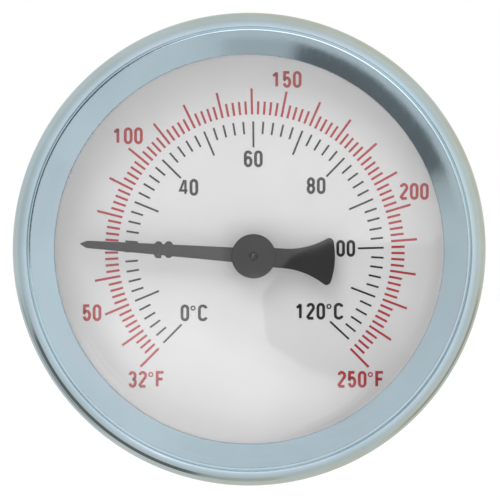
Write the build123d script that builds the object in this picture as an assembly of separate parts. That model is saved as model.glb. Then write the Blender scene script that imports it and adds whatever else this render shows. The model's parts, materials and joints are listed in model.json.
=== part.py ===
"""Dial thermometer, nominal size 63, with a bimetal helix in a plain rear stem.

Units are millimetres. The stem's axis is Y: the dial faces -Y, the stem points to +Y and +Z is up.
The origin is on the stem's axis, in the neck's shoulder face, where the gauge seats on a pocket.
Every turned or pressed piece is drawn as a half section, radius across and Y along, and revolved.
"""

from build123d import *
from math import hypot, radians, sqrt, tan
import os

# Bezel ring, pressed from sheet and crimped round the case's flange
bezel_radius = 31.5
view_radius = 25.85  # edge of the opening that shows the dial
sheet = 0.5  # thickness of the bezel's and the case's sheet
bezel_bead = 1.4  # radius of the rounded outer edge
bezel_bead_flat = 0.9  # from the bead's crest in to the cone's shoulder
cone_angle = 21.0  # slope of the face between bead and window
shoulder_radius = 1.2  # rounding where the cone meets the bead
lip_round = 0.2
bezel_groove_width = 0.26
bezel_groove_depth = 0.22
bezel_groove_inset = 0.55  # from the bead's crest in to the groove
crimp_gap = 0.3  # from the crimped edge to the case's wall

# Window, its gasket and the ring that holds the dial down
window_thickness = 1.4
window_rise = 1.7  # how far the dome stands in front of its flat rim
window_overlap = 0.45  # flat rim that shows inside the bezel's lip
rim_clearance = 0.15  # radial, of the flange in the bezel and of the window against the flange
gasket_thickness = 0.8
spacer_height = 4.1  # from the dial's face to the window's back
spacer_lap = 1.9  # radial width of the spacer ring

# Case
flange_width = 1.5
flange_bend = 0.3
ledge_width = 2.9  # step that carries the dial
ledge_bend = 0.2  # inside the corner of the wall and the ledge
well_depth = 5.5  # from the dial's back to the case's floor
well_bend = 0.35
back_bend = 2.6
floor_rib_radius = 19.0  # pressed ring that stiffens the floor
floor_rib_width = 2.4
floor_rib_height = 0.45
floor_rib_bend = 0.5
neck_hole_clearance = 0.15

# Dial
dial_thickness = 0.5
dial_clearance = 0.05
dial_hole_radius = 1.9

# How far play lets pieces sit off the case's axis: right and up, seen from the front
neck_shift = (0.58, -0.94)
dial_shift = (0.66, -0.17)

# Neck, with its washers and nut
collar_length = 7.0
collar_radius = 8.5
collar_flats = 15.0
flats_length = 4.0
spigot_radius = 5.0
spigot_end = 0.5  # spigot left in front of the nut
neck_bore = 2.0
tail_length = 5.0
washer_radius = 9.4
washer_thickness = 0.8
lock_washer_radius = 8.8
lock_washer_thickness = 0.6
lock_washer_teeth = 10
lock_tooth_width = 1.1
lock_tooth_depth = 0.9
nut_flats = 14.0
nut_height = 2.5
thread_clearance = 0.03

# Stem
stem_length = 45.0
stem_radius = 4.5
stem_wall = 0.7
stem_root = 1.0  # length of the neck that is turned to the stem's size, which the tube butts on
tip_cap = 2.0  # cap outside the tube
tip_plug = 3.0  # plug inside the tube
tip_round = 0.9

# Movement
spindle_radius = 0.6
running_clearance = 0.03
helix_radius = 2.6  # middle of the strip
strip_thickness = 0.25
strip_width = 2.0
helix_pitch = 2.6  # nominal, stretched a little so that whole turns fit
helix_seat_gap = 0.04
helix_gap = 1.2  # from the neck's tail and the tip's plug to the helix
collet_length = 3.4
anchor_head = 3.2
anchor_shank = 1.5
lower_bush_radius = 1.25
lower_bush_length = 2.6
bush_radius = 2.5
bush_length = 3.0
bush_flange_radius = 3.5
bush_flange = 0.6
thrust_washer_radius = 1.6
thrust_washer_thickness = 0.3
clip_radius = 1.5
clip_thickness = 0.4
clip_slot = 0.9
end_play = 0.08

# Pointer
scale_start = 225.35  # angle of 0 degrees Celsius, anticlockwise from +X
scale_span = 268.4
scale_top = 120.0
rest_reading = 22.1  # degrees Celsius shown at rest
pointer_height = 2.3  # from the dial's face to the pointer's back
pointer_thickness = 0.5
pointer_reach = 23.05
arm_root_width = 2.05
arm_tip_width = 0.95
point_length = 0.85
point_blunt = 0.12
hub_radius = 2.97
hub_height = 0.55
hub_round = 0.28
hub_dish = 0.3
hub_rim = 0.5
tail_reach = 10.88
tail_neck_width = 2.62
tail_neck_end = 3.9
tail_end_width = 7.1
tail_corner = 0.62
boss_radius = 1.4
boss_length = 1.7
boss_step_radius = 1.0
spindle_proud = 0.12
spindle_head_chamfer = 0.12

# Places along Y, from the neck's shoulder to the front
floor_back = -(collar_length + washer_thickness)
floor_front = floor_back - sheet
ledge_front = floor_front - well_depth
dial_front = ledge_front - dial_thickness
window_back = dial_front - spacer_height
window_rim = window_back - window_thickness
flange_front = window_back + gasket_thickness
flange_back = flange_front + sheet
spigot_front = floor_front - lock_washer_thickness - nut_height - spigot_end
pointer_back = dial_front - pointer_height
pointer_front = pointer_back - pointer_thickness
hub_front = pointer_front - hub_height
tube_end = stem_length - tip_cap
plug_start = tube_end - tip_plug
anchor_start = plug_start - anchor_head
helix_start = tail_length + helix_gap
helix_rise = plug_start - helix_gap - strip_width - helix_start
helix_turns = round(helix_rise / helix_pitch)

# Radii that follow from what fits inside what
flange_radius = bezel_radius - sheet - rim_clearance
window_radius = flange_radius - rim_clearance
wall_radius = flange_radius - flange_width
case_bore = wall_radius - sheet
back_radius = wall_radius - ledge_width
gasket_inner = case_bore + dial_clearance
spacer_outer = case_bore - dial_clearance
spacer_inner = spacer_outer - spacer_lap
dial_radius = case_bore - ledge_bend - dial_clearance - hypot(*dial_shift)
neck_hole = spigot_radius + neck_hole_clearance + hypot(*neck_shift)
tube_bore = stem_radius - stem_wall
helix_bore = helix_radius - strip_thickness / 2
case_centre = Location((-neck_shift[0], 0, -neck_shift[1]))
dial_centre = case_centre * Location((dial_shift[0], 0, dial_shift[1]))


def turned(outline):
    """Solid of revolution about Y from a closed outline in radius and Y."""
    return revolve(make_face(outline), Axis.Y)


def ring(inner, outer, start, end):
    """Plain ring about Y between two radii and two stations."""
    return turned(Polyline((inner, start), (outer, start), (outer, end), (inner, end), close=True))


def pressed_section(skin, side):
    """Half section of sheet metal: the skin line given one sheet's thickness to one side."""
    return make_face(offset(skin, sheet, side=side, closed=True))


def along_y(face, start, length):
    """A face drawn in X and Z as seen from the front, extruded towards +Y from a station."""
    return extrude(Plane((0, start, 0), x_dir=(1, 0, 0), z_dir=(0, -1, 0)) * face, -length)


def bezel_ring():
    """Skirt, rounded bead, shallow cone down to the lip, and the edge crimped behind the flange."""
    lip_front = window_rim - sheet
    shoulder = bezel_radius - bezel_bead - bezel_bead_flat
    crest = lip_front - (shoulder - view_radius) * tan(radians(cone_angle))
    crimp_edge = wall_radius + crimp_gap
    skin = FilletPolyline(
        (crimp_edge, flange_back + sheet),
        (bezel_radius, flange_back + sheet),
        (bezel_radius, crest),
        (shoulder, crest),
        (view_radius, lip_front),
        radius=[sheet + rim_clearance, bezel_bead, shoulder_radius],
    )
    section = pressed_section(skin, Side.RIGHT)
    section = fillet(section.vertices().sort_by(Axis.X)[:2], lip_round)
    groove_radius = bezel_radius - bezel_bead - bezel_groove_inset
    half = bezel_groove_width / 2
    groove = Polyline(
        (groove_radius - half, crest - sheet),
        (groove_radius - half, crest),
        (groove_radius, crest + bezel_groove_depth),
        (groove_radius + half, crest),
        (groove_radius + half, crest - sheet),
        close=True,
    )
    return case_centre * revolve(section - make_face(groove), Axis.Y)


def case_shell():
    """Pan with a flange, a ledge for the dial, a stiffening ring in the floor and the neck's hole."""
    rib_in = floor_rib_radius - floor_rib_width / 2
    rib_out = floor_rib_radius + floor_rib_width / 2
    rib_run = floor_rib_width / 3
    skin = FilletPolyline(
        (flange_radius, flange_back),
        (wall_radius, flange_back),
        (wall_radius, ledge_front + sheet),
        (back_radius, ledge_front + sheet),
        (back_radius, floor_back),
        (rib_out, floor_back),
        (rib_out - rib_run, floor_back - floor_rib_height),
        (rib_in + rib_run, floor_back - floor_rib_height),
        (rib_in, floor_back),
        (neck_hole, floor_back),
        radius=[flange_bend, sheet + ledge_bend, well_bend, back_bend] + 4 * [floor_rib_bend],
    )
    return case_centre * revolve(pressed_section(skin, Side.LEFT), Axis.Y)


def window():
    """Clear domed disc with a flat rim."""
    rim = window_radius
    dome = view_radius - window_overlap
    inner = dome - window_thickness / 2
    front_top = (0, window_rim - window_rise)
    back_top = (0, window_back - window_rise)
    outline = Curve() + [
        TangentArc(front_top, (dome, window_rim), tangent=(1, 0)),
        Polyline((dome, window_rim), (rim, window_rim), (rim, window_back), (inner, window_back)),
        TangentArc(back_top, (inner, window_back), tangent=(1, 0)),
        Line(back_top, front_top),
    ]
    return case_centre * turned(outline)


def window_gasket():
    return case_centre * ring(gasket_inner, window_radius, window_back, flange_front)


def spacer_ring():
    """Holds the dial on its ledge. Its mouth is chamfered so that it stays out of sight."""
    chamfer_run = spacer_lap / 2
    outline = Polyline(
        (spacer_inner, dial_front),
        (spacer_outer, dial_front),
        (spacer_outer, window_back),
        (spacer_inner + chamfer_run, window_back),
        (spacer_inner, window_back + chamfer_run),
        close=True,
    )
    return case_centre * turned(outline)


def dial_plate():
    plate = ring(dial_hole_radius, dial_radius, dial_front, ledge_front)
    return dial_centre * plate


def neck():
    """Turned neck: threaded spigot, collar with spanner flats, the stem's root and a tail in its tube."""
    collar_front = floor_back + washer_thickness
    bush_seat = spigot_front + bush_length
    chamfer_run = 0.5
    outline = Polyline(
        (bush_radius, spigot_front),
        (spigot_radius - chamfer_run, spigot_front),
        (spigot_radius, spigot_front + chamfer_run),
        (spigot_radius, collar_front),
        (collar_radius - chamfer_run, collar_front),
        (collar_radius, collar_front + chamfer_run),
        (collar_radius, -chamfer_run),
        (collar_radius - chamfer_run, 0),
        (stem_radius, 0),
        (stem_radius, stem_root),
        (tube_bore, stem_root),
        (tube_bore, tail_length),
        (neck_bore, tail_length),
        (neck_bore, bush_seat),
        (bush_radius, bush_seat),
        close=True,
    )
    body = turned(outline)
    half = collar_flats / 2
    slab = along_y(Rectangle(collar_radius, 2 * collar_radius), collar_front, flats_length)
    reach = half + collar_radius / 2
    for side in (-1, 1):
        body -= Location((side * reach, 0, 0)) * slab
    return body


def neck_washer():
    return ring(spigot_radius + 0.1, washer_radius, floor_back, floor_back + washer_thickness)


def lock_washer():
    """Flat washer with notches round its rim that leave square teeth."""
    start = floor_front - lock_washer_thickness
    body = ring(spigot_radius + 0.1, lock_washer_radius, start, floor_front)
    notch = Pos(lock_washer_radius, 0) * Rectangle(2 * lock_tooth_depth, lock_tooth_width)
    cutter = along_y(notch, start, lock_washer_thickness)
    for i in range(lock_washer_teeth):
        body -= cutter.rotate(Axis.Y, 360 * i / lock_washer_teeth)
    return body


def lock_nut():
    """Thin hexagon nut with both ends chamfered."""
    start = floor_front - lock_washer_thickness - nut_height
    corner = nut_flats / sqrt(3)
    hexagon = along_y(RegularPolygon(corner, 6), start, nut_height)
    lost = (corner - nut_flats / 2) / 2
    turned_blank = turned(
        Polyline(
            (spigot_radius + thread_clearance, start),
            (nut_flats / 2, start),
            (corner, start + lost),
            (corner, start + nut_height - lost),
            (nut_flats / 2, start + nut_height),
            (spigot_radius + thread_clearance, start + nut_height),
            close=True,
        )
    )
    return hexagon & turned_blank


def stem_tube():
    return ring(tube_bore, stem_radius, stem_root, tube_end)


def stem_tip():
    """Cap with a rounded end, a plug inside the tube and a blind seat for the anchor."""
    cap = FilletPolyline(
        (0, stem_length),
        (stem_radius, stem_length),
        (stem_radius, tube_end),
        radius=tip_round,
    )
    rest = Polyline(
        (stem_radius, tube_end),
        (tube_bore, tube_end),
        (tube_bore, plug_start),
        (anchor_shank, plug_start),
        (anchor_shank, tube_end),
        (0, tube_end),
        (0, stem_length),
    )
    return turned(Curve() + [cap, rest])


def helix_anchor():
    """Post in the tip that holds the helix's fixed end and the spindle's lower bush."""
    head_radius = helix_bore - helix_seat_gap
    pocket_end = anchor_start + lower_bush_length
    outline = Polyline(
        (lower_bush_radius, anchor_start),
        (head_radius, anchor_start),
        (head_radius, plug_start),
        (anchor_shank, plug_start),
        (anchor_shank, tube_end),
        (0, tube_end),
        (0, pocket_end),
        (lower_bush_radius, pocket_end),
        close=True,
    )
    return turned(outline)


def lower_bush():
    bore = spindle_radius + running_clearance
    return ring(bore, lower_bush_radius, anchor_start, anchor_start + lower_bush_length)


def bimetal_helix():
    """Flat strip wound edge to edge, from the collet on the spindle down to the anchor."""
    path = Helix(helix_rise / helix_turns, helix_rise, helix_radius)
    strip = Plane(path @ 0, x_dir=(1, 0, 0), z_dir=path % 0) * Rectangle(strip_thickness, strip_width)
    coil = sweep(strip, path, is_frenet=True)
    return Pos(0, helix_start + strip_width / 2, 0) * (Rot(-90, 0, 0) * coil)


def helix_collet():
    """Sleeve pressed on the spindle, which the helix's free end is welded to."""
    radius = helix_bore - helix_seat_gap
    return ring(spindle_radius, radius, helix_start, helix_start + collet_length)


def spindle():
    """Plain rod from the lower bush to the pointer, with its front end headed."""
    end = anchor_start + lower_bush_length - end_play
    front = hub_front + hub_dish - spindle_proud
    outline = Polyline(
        (0, front),
        (spindle_radius - spindle_head_chamfer, front),
        (spindle_radius, front + spindle_head_chamfer),
        (spindle_radius, end),
        (0, end),
        close=True,
    )
    return turned(outline)


def guide_bush():
    """Flanged bush in the neck's mouth that the spindle turns in."""
    bore = spindle_radius + running_clearance
    outline = Polyline(
        (bore, spigot_front - bush_flange),
        (bush_flange_radius, spigot_front - bush_flange),
        (bush_flange_radius, spigot_front),
        (bush_radius, spigot_front),
        (bush_radius, spigot_front + bush_length),
        (bore, spigot_front + bush_length),
        close=True,
    )
    return turned(outline)


def thrust_washer():
    start = spigot_front + bush_length + end_play
    bore = spindle_radius + running_clearance
    return ring(bore, thrust_washer_radius, start, start + thrust_washer_thickness)


def spindle_clip():
    """Open retaining ring on the spindle, behind the thrust washer."""
    start = spigot_front + bush_length + end_play + thrust_washer_thickness
    body = ring(spindle_radius, clip_radius, start, start + clip_thickness)
    mouth = Pos(clip_radius, 0) * Rectangle(2 * clip_radius, clip_slot)
    return body - along_y(mouth, start, clip_thickness)


def pointer_outline():
    """Flat shape of the pointer with its arm along +X: arm, hub disc and flared tail."""
    flat_end = pointer_reach - point_length
    arm = Polyline(
        (0, arm_root_width / 2),
        (flat_end, arm_tip_width / 2),
        (pointer_reach, point_blunt / 2),
        (pointer_reach, -point_blunt / 2),
        (flat_end, -arm_tip_width / 2),
        (0, -arm_root_width / 2),
        close=True,
    )
    neck_half = tail_neck_width / 2
    end_half = tail_end_width / 2
    end_x = -sqrt(tail_reach**2 - end_half**2)
    sides = [
        TangentArc((-tail_neck_end, side * neck_half), (end_x, side * end_half), tangent=(-1, 0))
        for side in (1, -1)
    ]
    end = ThreePointArc((end_x, end_half), (-tail_reach, 0), (end_x, -end_half))
    stub = Polyline(
        (-tail_neck_end, neck_half), (0, neck_half), (0, -neck_half), (-tail_neck_end, -neck_half)
    )
    tail = make_face(Curve() + [*sides, end, stub])
    corners = tail.vertices().sort_by(Axis.X)[:2]
    return make_face(arm) + fillet(corners, tail_corner)


def pointer():
    """Stamped plate with a raised, dished hub disc, turned to the rest reading."""
    plate = along_y(pointer_outline(), pointer_front, pointer_thickness)
    dish_radius = hub_radius - hub_rim
    hub = turned(
        Curve()
        + [
            Polyline((0, hub_front + hub_dish), (spindle_radius, hub_front + hub_dish)),
            Spline(
                (spindle_radius, hub_front + hub_dish),
                (dish_radius, hub_front),
                tangents=[(1, 0), (1, 0)],
            ),
            FilletPolyline(
                (dish_radius, hub_front),
                (hub_radius, hub_front),
                (hub_radius, pointer_back),
                radius=hub_round,
            ),
            Polyline((hub_radius, pointer_back), (0, pointer_back), (0, hub_front + hub_dish)),
        ]
    )
    body = plate + hub - ring(0, boss_step_radius, pointer_back, pointer_front)
    body -= ring(0, spindle_radius, hub_front - hub_height, pointer_back)
    angle = scale_start - scale_span * rest_reading / scale_top
    return body.rotate(Axis.Y, -angle)


def pointer_boss():
    """Brass boss pressed on the spindle, its step riveted into the pointer."""
    outline = Polyline(
        (spindle_radius, pointer_front),
        (boss_step_radius, pointer_front),
        (boss_step_radius, pointer_back),
        (boss_radius, pointer_back),
        (boss_radius, pointer_back + boss_length),
        (spindle_radius, pointer_back + boss_length),
        close=True,
    )
    return turned(outline)


PIECES = [
    bezel_ring,
    case_shell,
    window,
    window_gasket,
    spacer_ring,
    dial_plate,
    neck,
    neck_washer,
    lock_washer,
    lock_nut,
    stem_tube,
    stem_tip,
    helix_anchor,
    lower_bush,
    bimetal_helix,
    helix_collet,
    spindle,
    guide_bush,
    thrust_washer,
    spindle_clip,
    pointer,
    pointer_boss,
]

os.makedirs("parts", exist_ok=True)
for piece in PIECES:
    export_step(piece(), f"parts/{piece.__name__}.step")
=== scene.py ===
"""Looks of a dial thermometer: plated ring, window, printed dial, pointer, case, neck and stem.

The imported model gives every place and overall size. Lengths are metres. The dial faces -Y, the
stem points to +Y and +Z is up. Turned and pressed pieces are half sections, radius across and Y
along, carried round an axis that is parallel to Y.
"""

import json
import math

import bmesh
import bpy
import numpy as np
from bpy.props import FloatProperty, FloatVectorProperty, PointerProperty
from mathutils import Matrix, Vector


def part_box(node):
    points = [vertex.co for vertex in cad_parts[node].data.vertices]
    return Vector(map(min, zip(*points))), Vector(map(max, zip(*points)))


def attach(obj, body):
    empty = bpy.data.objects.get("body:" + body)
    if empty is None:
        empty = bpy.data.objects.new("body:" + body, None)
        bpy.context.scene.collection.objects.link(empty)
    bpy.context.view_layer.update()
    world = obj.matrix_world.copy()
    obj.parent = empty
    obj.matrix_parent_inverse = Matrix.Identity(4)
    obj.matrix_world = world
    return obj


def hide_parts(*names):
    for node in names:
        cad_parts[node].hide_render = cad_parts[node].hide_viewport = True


bl_info = {
    "name": "Dial thermometer",
    "version": (1, 0, 0),
    "blender": (4, 5, 0),
    "location": "3D View > Sidebar > Thermometer",
    "description": "Visible pieces and finishes of a dial thermometer round its packed model",
    "category": "Object",
}

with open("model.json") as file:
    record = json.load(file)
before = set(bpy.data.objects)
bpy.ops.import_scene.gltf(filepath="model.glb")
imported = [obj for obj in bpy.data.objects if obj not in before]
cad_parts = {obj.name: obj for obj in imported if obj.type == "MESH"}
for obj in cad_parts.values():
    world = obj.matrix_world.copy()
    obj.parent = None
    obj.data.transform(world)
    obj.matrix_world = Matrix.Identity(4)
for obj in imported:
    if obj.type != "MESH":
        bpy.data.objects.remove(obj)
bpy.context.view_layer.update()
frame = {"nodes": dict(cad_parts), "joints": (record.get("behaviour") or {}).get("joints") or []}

MM = 0.001
UM = 0.000001
SEGMENTS = 256  # round a full turn of the large pieces
WELD = 1e-8  # points closer than this become one


# Places


class Turned:
    """Where a turned CAD node stands: its axis, its outer radius and its two ends along Y."""

    def __init__(self, node):
        low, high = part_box(node)
        self.x = (low[0] + high[0]) / 2
        self.z = (low[2] + high[2]) / 2
        self.radius = (high[0] - low[0]) / 2
        self.front = low[1]
        self.back = high[1]
        self.axis = (self.x, self.z)

    def flat_ring(self, hole, edge):
        """Section of a plain ring from a hole to the outer radius, with its edges broken."""
        outer, front, back = self.radius, self.front, self.back
        corners = [(hole, front), (outer, front), (outer, back), (hole, back)]
        return rounded_loop(corners, [edge] * len(corners))


RING = Turned("bezel_ring")
CASE = Turned("case_shell")
WINDOW = Turned("window")
DIAL = Turned("dial_plate")
NECK = Turned("neck")
WASHER = Turned("neck_washer")
TUBE = Turned("stem_tube")
TIP = Turned("stem_tip")
SPINDLE = Turned("spindle")
POINTER_LOW, POINTER_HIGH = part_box("pointer")
SWEEP = frame["joints"][0]
SWEEP_START, SWEEP_END = SWEEP["range_deg"]
SCALE_START = math.radians(225.35)  # where the scale begins, anticlockwise from +X
SCALE_SPAN = math.radians(SWEEP_END - SWEEP_START)
REST_ANGLE = SCALE_START + math.radians(SWEEP_START)
CELSIUS_END = 120
FREEZING, FAHRENHEIT_END = 32, 250

TUBE_WALL = 0.7 * MM
SPIGOT = 5.0 * MM  # radius of the neck's threaded end
BUSH_SEAT, SEAT_DEPTH = 2.5 * MM, 3 * MM  # counterbore for the bush: radius and depth
NECK_BORE = 2.0 * MM
WASHER_HOLE = 5.1 * MM
TIP_BORE = 1.5 * MM


# Sizes and colours that a user may change


def length(name, description, default):
    """A length in metres, given here in millimetres."""
    return FloatProperty(
        name=name, description=description, default=default * MM, unit="LENGTH", precision=5
    )


def angle(name, description, default):
    """An angle in radians, given here in degrees."""
    turn = math.radians(default)
    return FloatProperty(name=name, description=description, default=turn, unit="ROTATION")


def amount(name, description, default):
    """A plain factor from nought upwards."""
    return FloatProperty(
        name=name, description=description, default=default, min=0.0, subtype="FACTOR"
    )


def offset(name, description, default):
    """A sideways and an upward distance in metres, given here in millimetres."""
    return FloatVectorProperty(
        name=name, description=description, default=[part * MM for part in default],
        size=2, subtype="TRANSLATION", unit="LENGTH", precision=5,
    )


def colour(name, description, default):
    """A linear colour."""
    return FloatVectorProperty(
        name=name, description=description, default=default, min=0.0, max=1.0, subtype="COLOR"
    )


class RingSettings(bpy.types.PropertyGroup):
    """Section and finish of the plated ring."""

    view_radius: length("View radius", "Edge of the opening over the dial", 25.85)
    sheet: length("Sheet", "Thickness of the ring's sheet", 0.5)
    bead: length("Bead", "Radius of the rounded outer edge", 1.4)
    bead_flat: length("Bead flat", "From the bead's crest in to the cone's shoulder", 0.9)
    shoulder: length("Shoulder", "Rounding between the cone and the bead", 1.2)
    cone: angle("Cone", "Slope of the cone between the lip and the shoulder", 21.0)
    crown: angle("Crown", "How much steeper the cone is at the lip than midway", 2.0)
    bead_tilt: angle("Bead tilt", "Slope of the face between the groove and the bead", 9.0)
    groove_inset: length("Groove inset", "From the bead's crest in to the groove", 0.55)
    groove_width: length("Groove width", "Width of the fine groove", 0.2)
    groove_depth: length("Groove depth", "Depth of the fine groove", 0.13)
    crimp_bend: length("Crimp bend", "Outer radius of the bend behind the flange", 0.65)
    crimp_gap: length("Crimp gap", "From the crimped edge to the case's wall", 0.3)
    plate: colour("Plate", "Colour of the plated face", (0.45, 0.57, 0.63))
    plate_warm: colour("Warm plate", "Thicker film on the outer edge", (0.46, 0.475, 0.38))
    roughness: amount("Roughness", "Roughness of the plated face", 0.085)


class WindowSettings(bpy.types.PropertyGroup):
    """Section of the clear window."""

    thickness: length("Thickness", "Thickness of the window", 1.4)
    rim_overlap: length("Rim overlap", "Flat rim that shows inside the ring's lip", 0.45)
    index: FloatProperty(
        name="Index", description="Index of refraction", default=1.58, min=1.0, max=2.0
    )


class DialSettings(bpy.types.PropertyGroup):
    """Printed scale and finish of the dial."""

    paint: colour("Paint", "Colour of the dial", (0.712, 0.712, 0.712))
    black: colour("Black ink", "Colour of the inner scale", (0.016, 0.017, 0.018))
    red: colour("Red ink", "Colour of the outer scale", (0.43, 0.014, 0.024))
    hole: length("Hole", "Radius of the hole for the spindle", 1.9)
    ink: length("Ink", "Height of the ink above the paint", 0.02)
    red_inner: length("Red inner", "Inner end of the outer scale's ticks", 18.3)
    red_short: length("Red short", "Outer end of the outer scale's short ticks", 20.07)
    red_long: length("Red long", "Outer end of the outer scale's long ticks", 21.78)
    red_stroke: length("Red stroke", "Width of the outer scale's ticks", 0.31)
    red_register: offset("Red register", "Outer scale's centre on the plate", (0.085, -0.08))
    black_outer: length("Black outer", "Outer end of the inner scale's ticks", 17.33)
    black_short: length("Black short", "Inner end of the inner scale's short ticks", 15.65)
    black_long: length("Black long", "Inner end of the inner scale's long ticks", 13.85)
    black_stroke: length("Black stroke", "Width of the inner scale's ticks", 0.26)
    black_register: offset("Black register", "Inner scale's centre on the plate", (0.03, -0.045))
    black_lag: angle("Black lag", "Clockwise lag of the inner scale's middle", 0.65)
    digit_height: length("Digit height", "Height of the numerals", 2.26)
    digit_width: length("Digit width", "Width of a numeral", 1.16)
    digit_step: length("Digit step", "From one numeral to the next", 1.37)
    digit_stroke: length("Digit stroke", "Width of the numerals' strokes", 0.385)
    fine_strokes: amount("Fine strokes", "Share of the pen's width in the degree sign", 0.46)


class PointerSettings(bpy.types.PropertyGroup):
    """Outline and finish of the pointer."""

    lacquer: colour("Lacquer", "Colour of the pointer", (0.012, 0.0125, 0.0135))
    thickness: length("Thickness", "Thickness of the plate", 0.5)
    bevel: length("Bevel", "Width of the broken edge", 0.05)
    reach: length("Reach", "From the spindle's axis to the tip", 23.2)
    root_width: length("Root width", "Width of the arm at the axis", 2.1)
    tip_width: length("Tip width", "Width of the arm where the point begins", 0.99)
    point: length("Point", "Length of the point", 0.85)
    blunt: length("Blunt", "Width of the tip", 0.12)
    tail_reach: length("Tail reach", "From the axis to the tail's end", 10.88)
    tail_neck: length("Tail neck", "Width of the tail where it leaves the hub", 2.62)
    tail_start: length("Tail start", "From the axis to where the tail begins to widen", 3.9)
    tail_width: length("Tail width", "Width of the tail's end", 7.1)
    tail_corner: length("Tail corner", "Rounding of the tail's corners", 0.62)
    hub: length("Hub", "Radius of the hub disc", 2.97)
    hub_rim: length("Hub rim", "Width of the rim round the hub's dish", 0.5)
    hub_dish: length("Hub dish", "Depth of the hub's dish", 0.18)
    hub_round: length("Hub round", "Rounding of the hub's edge", 0.22)


class CaseSettings(bpy.types.PropertyGroup):
    """Section and finish of the pressed case."""

    sheet: length("Sheet", "Thickness of the case's sheet", 0.5)
    flange: length("Flange", "Width of the flange", 1.5)
    ledge: length("Ledge", "Width of the ledge that carries the dial", 2.9)
    back_bend: length("Back bend", "Outer radius of the bend between wall and floor", 2.6)
    rib_radius: length("Rib radius", "Middle of the ring pressed into the floor", 19.0)
    rib_width: length("Rib width", "Width of the pressed ring", 2.4)
    rib_height: length("Rib height", "Depth of the pressed ring", 0.45)
    neck_hole: length("Neck hole", "Radius of the hole for the neck", 6.2546)
    plate: colour("Plate", "Colour of the plated case", (0.46, 0.55, 0.59))
    roughness: amount("Roughness", "Roughness of the plated case", 0.17)


class NeckSettings(bpy.types.PropertyGroup):
    """Neck, washer and stem."""

    flats: length("Flats", "Distance across the collar's spanner flats", 15.0)
    flats_length: length("Flats length", "Length of the spanner flats", 4.0)
    collar_length: length("Collar length", "Length of the collar", 7.0)
    chamfer: length("Chamfer", "Chamfer of the turned edges", 0.5)
    tip_round: length("Tip round", "Rounding of the stem's end", 0.9)
    brass: colour("Brass", "Colour of the turned and drawn brass", (0.72, 0.52, 0.24))
    fibre: colour("Fibre", "Colour of the fibre washer", (0.23, 0.055, 0.032))


class StageSettings(bpy.types.PropertyGroup):
    """Camera, floor and light."""

    distance: FloatProperty(
        name="Distance", description="From the camera to the ring", default=1.0, unit="LENGTH"
    )
    margin: amount("Margin", "Half the picture's width over the ring's radius", 250.0 / 236.6)
    shift_x: length("Shift across", "From the ring's axis right to the view's middle", 0.107)
    shift_z: length("Shift up", "From the ring's axis up to the view's middle", -0.107)
    floor_gap: length("Floor gap", "From the floor up to the ring", 60.0)
    sky: amount("Sky", "Strength of the even light", 0.94)
    glow: amount("Glow", "Strength of the added light round the camera", 0.36)
    strip: amount("Strip", "How much the low strip at the sides is dimmed", 0.42)
    key: amount("Key", "Power of the key light in watts", 1.6)


GROUPS = {
    "ring": RingSettings,
    "window": WindowSettings,
    "dial": DialSettings,
    "pointer": PointerSettings,
    "case": CaseSettings,
    "neck": NeckSettings,
    "stage": StageSettings,
}


# Surfaces


def rounded(corners, radii, steps=7):
    """Line through corners, each replaced by an arc that is tangent to its two sides.

    With half the angle between the sides called h, an arc of radius r begins r / tan(h) from the
    corner and its centre lies r / sin(h) along the bisector. Points between the arc's two ends
    are spherical blends of the two spokes. The first and last corners stay sharp, and so does a
    corner that hardly turns.
    """
    corners = np.asarray(corners, float)
    straight = math.radians(89.9)
    share = np.linspace(0, 1, steps)[:, None]
    pieces = [corners[:1]]
    for before, corner, after, radius in zip(corners, corners[1:], corners[2:], radii):
        back = (before - corner) / np.linalg.norm(before - corner)
        ahead = (after - corner) / np.linalg.norm(after - corner)
        half = math.acos(np.clip(back @ ahead, -1, 1)) / 2
        if radius == 0 or half > straight:
            pieces.append(corner[None])
            continue
        bisector = (back + ahead) / np.linalg.norm(back + ahead)
        centre = corner + bisector * radius / math.sin(half)
        start = corner + back * radius / math.tan(half) - centre
        end = corner + ahead * radius / math.tan(half) - centre
        turn = math.pi - 2 * half
        blend = np.sin((1 - share) * turn) * start + np.sin(share * turn) * end
        pieces.append(centre + blend / math.sin(turn))
    pieces.append(corners[-1:])
    return np.vstack(pieces)


def rounded_loop(corners, radii, steps=7):
    """As rounded, for a closed section: the line starts and ends midway along its last side."""
    corners = np.asarray(corners, float)
    middle = (corners[-1] + corners[0]) / 2
    return rounded(np.vstack([middle, corners, middle]), radii, steps)[:-1]


def grid_faces(rows, columns, wrap_rows=False, wrap_columns=False):
    """Four-sided faces of a grid of points, numbered row by row."""
    i = np.arange(rows if wrap_rows else rows - 1)
    j = np.arange(columns if wrap_columns else columns - 1)
    i, j = np.meshgrid(i, j, indexing="ij")
    below, right = (i + 1) % rows, (j + 1) % columns
    here, under = i * columns, below * columns
    corners = (here + j, under + j, under + right, here + right)
    return np.stack([c.ravel() for c in corners], axis=1)


def turned_grid(section, axis, segments=SEGMENTS, closed=True):
    """Points and faces of a half section carried round an axis that is parallel to Y.

    x = axis x + r cos(a), z = axis z + r sin(a), with a over a full turn. The section is put in
    anticlockwise order, by the sign of its area, so that the faces point outwards.
    """
    section = np.asarray(section, float)
    r, y = section.T
    if np.sum(r * np.roll(y, -1) - np.roll(r, -1) * y) < 0:
        r, y = r[::-1], y[::-1]
    a = np.linspace(0, 2 * np.pi, segments, endpoint=False)
    x = axis[0] + np.outer(r, np.cos(a))
    z = axis[1] + np.outer(r, np.sin(a))
    points = np.stack([x, np.broadcast_to(y[:, None], x.shape), z], axis=-1).reshape(-1, 3)
    return points, grid_faces(len(r), segments, wrap_rows=closed, wrap_columns=True)


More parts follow.
